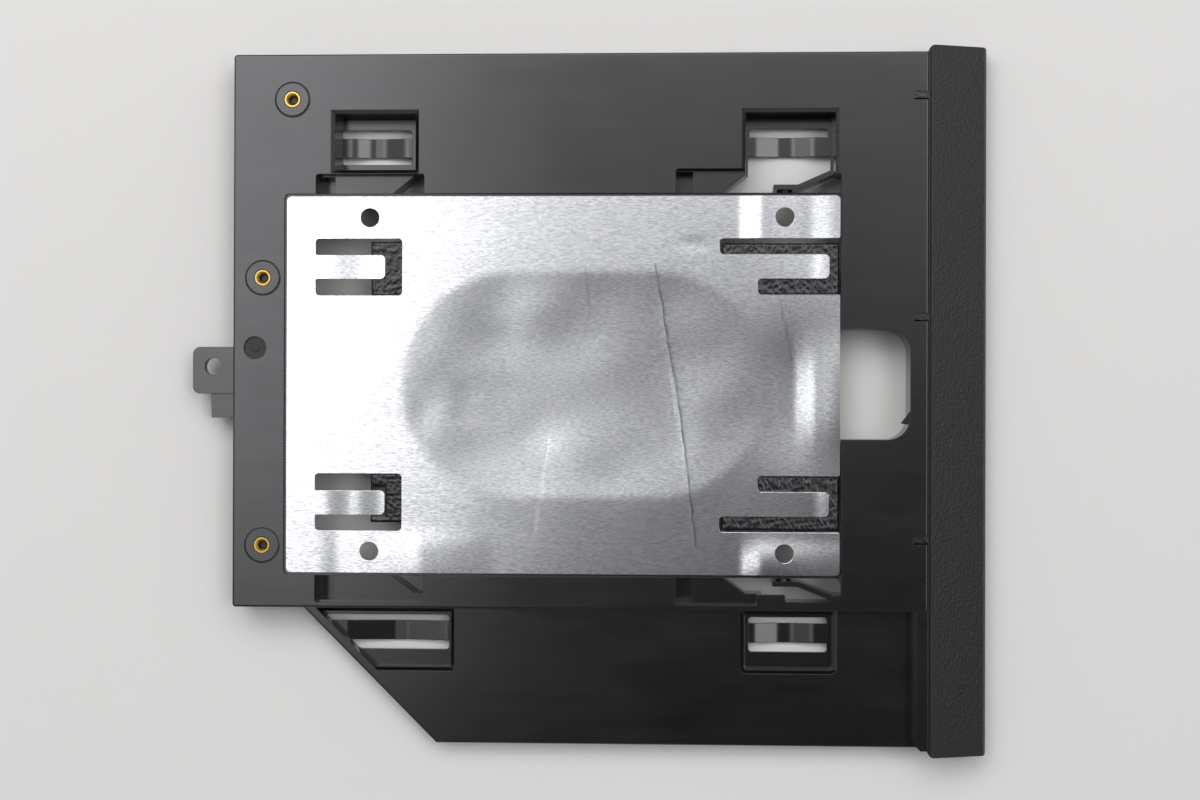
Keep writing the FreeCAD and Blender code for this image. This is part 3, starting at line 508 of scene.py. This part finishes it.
def plate_outlines():
    """The plate's outer outline, counter-clockwise, with the two open front slots, then the C-shaped rear
    slots and the four screw holes, clockwise."""
    inner, tongue_in, tongue_out, outer = front_slot
    tip = plate_front - front_tip_in
    start_out = plate_front - front_outer_in
    start_in = plate_front - front_inner_in
    half = [(plate_front, inner), (start_in, inner), (start_in, tongue_in), (tip, tongue_in),
            (tip, tongue_out), (start_out, tongue_out), (start_out, outer), (plate_front, outer),
            (plate_front, plate_side), (plate_rear, plate_side)]
    half_radii = [slot_mouth_corner, slot_corner, slot_corner, tongue_corner, tongue_corner, slot_corner,
                  slot_corner, slot_mouth_corner, plate_corner, plate_corner]
    other = [(x, -y) for x, y in half[::-1]]
    loops = [rounded_loop(half + other, half_radii + half_radii[::-1])]
    rear, front = plate_rear + rear_slot_in[0], plate_rear + rear_slot_in[1]
    tip = plate_rear + rear_tip_in
    radii = [slot_corner, slot_mouth_corner, tongue_corner, tongue_corner, slot_mouth_corner, slot_corner,
             slot_corner, slot_corner]
    for low, tongue_low, tongue_high, high in rear_slots:
        corners = [(rear, low), (rear, tongue_low), (tip, tongue_low), (tip, tongue_high),
                   (rear, tongue_high), (rear, high), (front, high), (front, low)]
        loops.append(rounded_loop(corners, radii))
    turn = np.linspace(0, -2 * math.pi, hole_points, endpoint=False)
    ring = hole_radius * np.stack([np.cos(turn), np.sin(turn)], 1)
    for side_x in (-0.5, 0.5):
        for side_y in (-0.5, 0.5):
            loops.append(ring + [hole_mid_x + side_x * hole_pitch[0], side_y * hole_pitch[1]])
    return loops


def crease_line(number):
    """Points of one crease in the plate's own place, a step apart and strayed aside by chance."""
    line = np.array(plate_creases[number][1])
    length = np.concatenate([[0], np.cumsum(np.linalg.norm(np.diff(line, axis=0), axis=1))])
    at = np.linspace(0, length[-1], int(length[-1] / crease_step) + 2)
    stray = np.random.default_rng(number).normal(0, crease_stray, len(at))
    return np.stack([plate_front - np.interp(at, length, line[:, 0]) + stray,
                     np.interp(at, length, line[:, 1])], 1)


def crease_share(x, y):
    """How far each point is within a crease: a bell curve of its distance from the nearest stretch, with
    a weight that changes by chance along the crease."""
    place = np.stack([x, y], 1)
    share = np.zeros(len(x))
    for number, (strength, _) in enumerate(plate_creases):
        line = crease_line(number)
        weights = strength * np.random.default_rng(number).uniform(*crease_weight_range, len(line) - 1)
        for start, end, weight in zip(line[:-1], line[1:], weights):
            along = np.clip(((place - start) @ (end - start)) / ((end - start) @ (end - start)), 0, 1)
            away = np.linalg.norm(place - start - along[:, None] * (end - start), axis=1)
            bell = weight * np.exp(-(away / crease_half) ** 2)
            share = np.where(np.abs(bell) > np.abs(share), bell, share)
    return share


def crease_points():
    """Rows of points beside each crease, close enough together to carry its form."""
    rows = []
    off = crease_half * np.array(crease_rows)
    for number in range(len(plate_creases)):
        line = crease_line(number)
        for start, end in zip(line[:-1], line[1:]):
            length = np.linalg.norm(end - start)
            ahead = (end - start) / length
            along = np.arange(crease_row_start, length, 2 * crease_half)
            middle = start + along[:, None] * ahead
            rows.append((middle[:, None] + off[None, :, None] * [-ahead[1], ahead[0]]).reshape(-1, 2))
    return np.concatenate(rows)


def soft_ramp(distance, soft):
    """Nought before the start and the distance itself after it, with a rounded bend."""
    return soft * np.logaddexp(0, distance / soft)


def fold_height(x, y):
    """Sum of the folds: slope times a ramp along x up to the place's end, within a stretch of y with soft
    sides."""
    total = np.zeros(len(x))
    for (low, high), soft_y, last_in, folds in plate_folds.values():
        within = 1 / (1 + np.exp((low - y) / soft_y)) / (1 + np.exp((y - high) / soft_y))
        for (start_in, end_in), slope, soft in folds:
            ramp = soft_ramp(x - plate_front + start_in, soft) - soft_ramp(x - plate_front + end_in, soft)
            total += slope * ramp * within * (x < plate_front - last_in)
    return total


def sheet_unevenness(x, y):
    """Slight waviness of thin sheet: sine waves of chance direction, length and phase."""
    chance = np.random.default_rng(sheet_wave_seed)
    heading = chance.uniform(0, math.pi, sheet_waves)
    length = chance.uniform(*sheet_wave_mm, sheet_waves)
    phase = chance.uniform(0, 2 * math.pi, sheet_waves)
    way = x[:, None] * np.cos(heading) + y[:, None] * np.sin(heading)
    return sheet_wave_depth * np.sin(2 * math.pi * way / length + phase).sum(1) / math.sqrt(sheet_waves)


def dent_depth(x, y):
    """Sum of the dents, each a bell curve of x and y."""
    total = np.zeros(len(x))
    for at_in, across, half_x, half_y, depth in plate_dents:
        total += depth * np.exp(-((x - plate_front + at_in) / half_x) ** 2 - ((y - across) / half_y) ** 2)
    return total


def plate_height(x, y):
    """Height of the sheet's upper face: flat, less a dish that falls as one minus the squared distance
    from the dish's middle line over its radius, with a softened rim, and is shallower towards its ends,
    plus the folds, the waviness, which is greater in the dish, and the creases, less the dents."""
    along = np.abs(x - dish_mid_x)
    reach = np.hypot(np.maximum(along - (dish_half_length - dish_radius), 0), y)
    fall = 1 - (reach / dish_radius) ** 2
    share = 1 - (1 - dish_end_share) * np.minimum(along / dish_half_length, 1) ** 2
    dish = dish_depth * share * (fall + np.sqrt(fall ** 2 + dish_rim_soft ** 2)) / 2
    wavy = 1 + dish_wave_share * np.clip(fall, 0, dish_wave_full) / dish_wave_full
    uneven = sheet_unevenness(x, y) * wavy
    uneven += crease_depth * crease_share(x, y) - dent_depth(x, y)
    return plate_top - dish + fold_height(x, y) + uneven


def plate_triangles():
    """Points and triangles of the sheet laid flat: its outlines, each with a second one inside the metal
    where the edge starts to roll, a lattice of points clear of them, and the points of the creases."""
    loops = [refined(loop, mesh_step) for loop in plate_outlines()]
    rings = loops + [inset(loop, edge_roll_width) for loop in loops]
    pressed = crease_points()
    grid_x = np.arange(plate_rear, plate_front, mesh_step)
    grid_y = np.arange(-plate_side, plate_side, mesh_step)
    lattice = np.stack(np.meshgrid(grid_x, grid_y, indexing="ij"), -1).reshape(-1, 2)
    lattice = lattice[on_sheet(lattice, loops)]
    for ring in rings + [pressed]:
        gap = np.sqrt(((lattice[:, None] - ring[None]) ** 2).sum(-1).min(1))
        lattice = lattice[gap > mesh_step * mesh_clear_share]
    flat = np.concatenate(rings + [lattice, pressed])
    edges = []
    start = 0
    for ring in rings:
        count = np.arange(len(ring))
        edges.append(np.stack([count, (count + 1) % len(ring)], 1) + start)
        start += len(ring)
    joined = delaunay_2d_cdt(flat.tolist(), np.concatenate(edges).tolist(), [], 0, same_point, False)
    flat = np.array([tuple(point) for point in joined[0]])
    faces = np.array(joined[2])
    return flat, faces[on_sheet(flat[faces].mean(1), loops)]


def open_sides(faces):
    """The sides that only one triangle has, in the direction in which it runs round that triangle."""
    sides = np.concatenate([faces[:, [0, 1]], faces[:, [1, 2]], faces[:, [2, 0]]])
    _, where, times = np.unique(np.sort(sides, axis=1), axis=0, return_index=True, return_counts=True)
    return sides[where[times == 1]]


def shield_plate():
    """The pressed sheet: each point of the flat sheet is lifted to the height function, less a drop where
    the upper face rolls over at its rim, the lower face is a thickness below, and walls join the two."""
    flat, faces = plate_triangles()
    rim = open_sides(faces)
    height = plate_height(flat[:, 0], flat[:, 1])
    upper = height.copy()
    upper[np.unique(rim)] -= edge_roll_drop
    y = flat[:, 1] + plate_mid_y
    points = np.concatenate([np.stack([flat[:, 0], y, upper], 1),
                             np.stack([flat[:, 0], y, height - plate_thick], 1)])
    low = len(flat)
    walls = np.concatenate([np.stack([rim[:, 1], rim[:, 0], rim[:, 0] + low], 1),
                            np.stack([rim[:, 1], rim[:, 0] + low, rim[:, 1] + low], 1)])
    points, faces = used_only(points, np.concatenate([faces, faces[:, ::-1] + low, walls]))
    piece = put_mesh("pressed", "shield_plate", points, faces, "aluminium_sheet", sharp=15.0)
    # The crease attribute carries the painted shade of the creases and the painted highlights of the bright
    # lines to the finish
    crease_shade_and_highlight_paint = piece.data.attributes.new("crease", "FLOAT", "POINT")
    crease_shade_and_highlight_paint.data.foreach_set("value", crease_share(points[:, 0], points[:, 1] - plate_mid_y).astype(np.float32))


shield_plate()


# Foam pads

# Sizes in mm; the bend share is the pace of the waves that bend the folds, beside that of the folds
pad_step = 0.2
pad_round = 0.35
pad_fold_count = 9
pad_fold_mm = (0.6, 2.0)
pad_fold_depth = 0.3
pad_bend_share = 0.7
pad_clearance = 0.03


def foam_pad(node, seed):
    """Pad under a crumpled film on a grid of x and y: its edge is rounded by half the thickness times the
    root of one minus the squared share of the round left, and its upper face falls into folds, each the
    size of a sine of chance direction and length, bent by another. It stays below the plate. Each cell of
    the grid is cut from its outer to its inner corner, so that both faces close at the pad's corners."""
    low, high = box_mm(node)
    rows, columns = np.round((high - low)[:2] / pad_step).astype(int) + 1
    grid_x = np.linspace(low[0], high[0], rows)
    grid_y = np.linspace(low[1], high[1], columns)
    x, y = np.meshgrid(grid_x, grid_y, indexing="ij")
    edge = np.minimum(np.minimum(x - low[0], high[0] - x), np.minimum(y - low[1], high[1] - y))
    round_share = np.sqrt(1 - (1 - np.clip(edge / pad_round, 0, 1)) ** 2)
    chance = np.random.default_rng(seed)
    heading = chance.uniform(0, math.pi, pad_fold_count)
    length = chance.uniform(*pad_fold_mm, pad_fold_count)
    phase = chance.uniform(0, 2 * math.pi, pad_fold_count)
    way = (x[..., None] * np.cos(heading) + y[..., None] * np.sin(heading)) / length
    bent = np.sin(way[..., ::-1] * math.pi * pad_bend_share + phase)
    folds = np.abs(np.sin(math.pi * way + phase + bent)).mean(-1)
    half = (high[2] - low[2]) / 2 * round_share
    middle = (high[2] + low[2]) / 2
    upper = middle + half - pad_fold_depth * folds * round_share
    below_plate = plate_height(x.reshape(-1), y.reshape(-1) - plate_mid_y).reshape(x.shape) - plate_thick
    upper = np.maximum(np.minimum(upper, below_plate - pad_clearance), middle - half)
    index = np.arange(rows * columns).reshape(rows, columns)
    first, second, third, fourth = index[:-1, :-1], index[1:, :-1], index[1:, 1:], index[:-1, 1:]
    rising = (np.arange(rows - 1) < rows // 2)[:, None] == (np.arange(columns - 1) < columns // 2)
    halves = [np.stack([first, second, np.where(rising, third, fourth)], -1),
              np.stack([np.where(rising, first, second), third, fourth], -1)]
    upper_faces = np.concatenate(halves).reshape(-1, 3)
    on_edge = np.ones(x.shape, bool)
    on_edge[1:-1, 1:-1] = False
    lower_index = np.where(on_edge, index, index + rows * columns)
    lower_faces = lower_index.reshape(-1)[upper_faces][:, ::-1]
    points = np.concatenate([np.stack([x, y, upper], -1).reshape(-1, 3),
                             np.stack([x, y, middle - half], -1).reshape(-1, 3)])
    points, faces = used_only(points, np.concatenate([upper_faces, lower_faces]))
    piece = put_mesh("crumpled", node, points, faces, "foam", sharp=60.0)


for seed, pad in enumerate(("pad_rear_upper", "pad_rear_lower", "pad_front_upper", "pad_front_lower")):
    foam_pad(pad, seed)


# Threaded inserts

# Sizes in mm. The screw comes from below and ends a little way in from the mouth, and from there down the
# bore leaves room for the screw's plain body
insert_sides = 64
insert_chamfer = 0.12
mouth_radius = 0.72
mouth_chamfer = 0.42
screw_room = 0.81
screw_end_in = 1.55
thread_pitch = 0.4
thread_depth = 0.12
bore_rows = 60


def threaded_insert(node):
    """Brass insert: a closed profile of radius and height carried round a circle. In the bore the radius
    also grows with a triangle wave of height less the turned share of a pitch, which makes a thread."""
    low, high = box_mm(node)
    middle = (low + high) / 2
    outer = (high[0] - low[0]) / 2
    turn = np.linspace(0, 2 * math.pi, insert_sides, endpoint=False)
    bore = np.linspace(high[2] - mouth_chamfer, low[2], bore_rows)[:, None]
    rise = (bore / thread_pitch - turn / (2 * math.pi)) % 1
    wide = np.where(bore > high[2] - screw_end_in, mouth_radius, screw_room)
    bore_radius = wide + thread_depth * (1 - np.abs(2 * rise - 1))
    plain_radius = np.array([outer, outer, outer - insert_chamfer, mouth_radius + mouth_chamfer])[:, None]
    plain_height = np.array([low[2], high[2] - insert_chamfer, high[2], high[2]])[:, None]
    radius = np.concatenate([np.repeat(plain_radius, insert_sides, axis=1), bore_radius])
    height = np.repeat(np.concatenate([plain_height, bore]), insert_sides, axis=1)
    points = np.stack([middle[0] + radius * np.cos(turn), middle[1] + radius * np.sin(turn), height], -1)
    index = np.arange(radius.size).reshape(radius.shape)
    after, beside = np.roll(index, -1, 0), np.roll(index, -1, 1)
    both = np.roll(after, -1, 1)
    faces = np.stack([index, beside, both, after], -1).reshape(-1, 4)
    put_mesh("threaded", node, points.reshape(-1, 3), faces, "brass", sharp=30.0)


for insert in ("insert_1", "insert_2", "insert_3"):
    threaded_insert(insert)


# Floor

# A pale table, in metres, with a hair's breadth between it and the caddy
table_half = 2.0
table_gap = 0.02 * MM
table_z = cad_low[2] - table_gap
table_mesh = bpy.data.meshes.new("pale table")
table_mesh.from_pydata([(-table_half, -table_half, table_z), (table_half, -table_half, table_z),
                        (table_half, table_half, table_z), (-table_half, table_half, table_z)],
                       [], [(0, 1, 2, 3)])
table_mesh.materials.append(mottled_finish("pale table", "#e2e0dd", "#e4e2df", 40.0, (0.65, 0.75), 0.0))
add_object("pale table", table_mesh)


# Light

# The studio: each panel's strength is the product of smooth steps along the axes of the direction that it
# is seen in, and a step has its axis, start and end, and strength at each. A broad ceiling on the far side
# dims towards the near side, and a little more where the camera's own shade falls; the near wall is faint; a
# brighter soft box hangs on the left and another on the right; pale walls close the horizon. The shade takes
# away less than the ceiling and the base level give
base_level = 0.05
panels = {
    "ceiling": (("Y", -0.107, 0.186, 0.0, 1.12), ("Z", 0.31, 0.835, 0.25, 1.0), ("Y", 0.75, 0.4, 0.3, 1.0)),
    "camera's shade": (("X", -0.06, 0.0, 0.0, -0.2), ("X", 0.14, 0.07, 0.0, 1.0),
                       ("Y", -0.07, -0.03, 0.0, 1.0), ("Y", 0.12, 0.05, 0.0, 1.0)),
    "near wall": (("Y", -0.3, -0.42, 0.0, 0.12), ("Y", -0.9, -0.75, 0.0, 1.0)),
    "left box": (("X", -0.11, -0.15, 0.0, 2.5), ("X", -0.5, -0.3, 0.0, 1.0),
                 ("Y", -0.217, 0.0, 0.0, 1.0), ("Y", 0.5, 0.3, 0.0, 1.0)),
    "right box": (("X", 0.24, 0.28, 0.0, 3.6), ("X", 0.6, 0.5, 0.0, 1.0),
                  ("Y", -0.3, -0.15, 0.0, 1.0), ("Y", 0.35, 0.2, 0.0, 1.0)),
    "walls": (("Z", 0.45, 0.15, 0.0, 0.6),),
}
world = bpy.data.worlds.new("soft studio light")
world.use_nodes = True
bpy.context.scene.world = world
sky = world.node_tree
direction = add_node(sky, "ShaderNodeSeparateXYZ", {
    "Vector": add_node(sky, "ShaderNodeTexCoord").outputs["Generated"]}).outputs
level = base_level
for steps in panels.values():
    strength = 1.0
    for axis, start, end, low, high in steps:
        step = add_node(sky, "ShaderNodeMapRange", {
            "Value": direction[axis], "From Min": start, "From Max": end, "To Min": low, "To Max": high},
            interpolation_type="SMOOTHSTEP").outputs["Result"]
        strength = add_node(sky, "ShaderNodeMath", {0: strength, 1: step}, operation="MULTIPLY").outputs[0]
    level = add_node(sky, "ShaderNodeMath", {0: level, 1: strength}, operation="ADD").outputs[0]
sky.nodes["Background"].inputs["Color"].default_value = linear("#fbfcff")
sky.links.new(level, sky.nodes["Background"].inputs["Strength"])

# One lamp on the far side gives the soft shadow; its power is in watts to the square metre of its face
far_box_power = 7.4
lamp = bpy.data.lights.new("far soft box", "AREA")
lamp.shape = "RECTANGLE"
lamp.size, lamp.size_y = 0.60, 0.34
lamp.energy = far_box_power * lamp.size * lamp.size_y
far_box = add_object("far soft box", lamp)
far_box.location = (-0.08, 0.36, 0.55)

bpy.context.scene.view_settings.view_transform = "Standard"


# Camera

# It hangs about 0.4 m above the table and looks almost straight down; the angles are in degrees
camera_angles = (0.309, 2.912, 0.173)
camera_data = bpy.data.cameras.new("camera")
camera_data.sensor_width = 36.0
camera_data.lens = 65.04
camera_data.clip_start = 0.01
camera_data.clip_end = 20.0
camera = add_object("camera", camera_data)
camera.location = (0.02301, -0.00205, 0.40789)
camera.rotation_euler = tuple(math.radians(angle) for angle in camera_angles)
bpy.context.scene.camera = camera
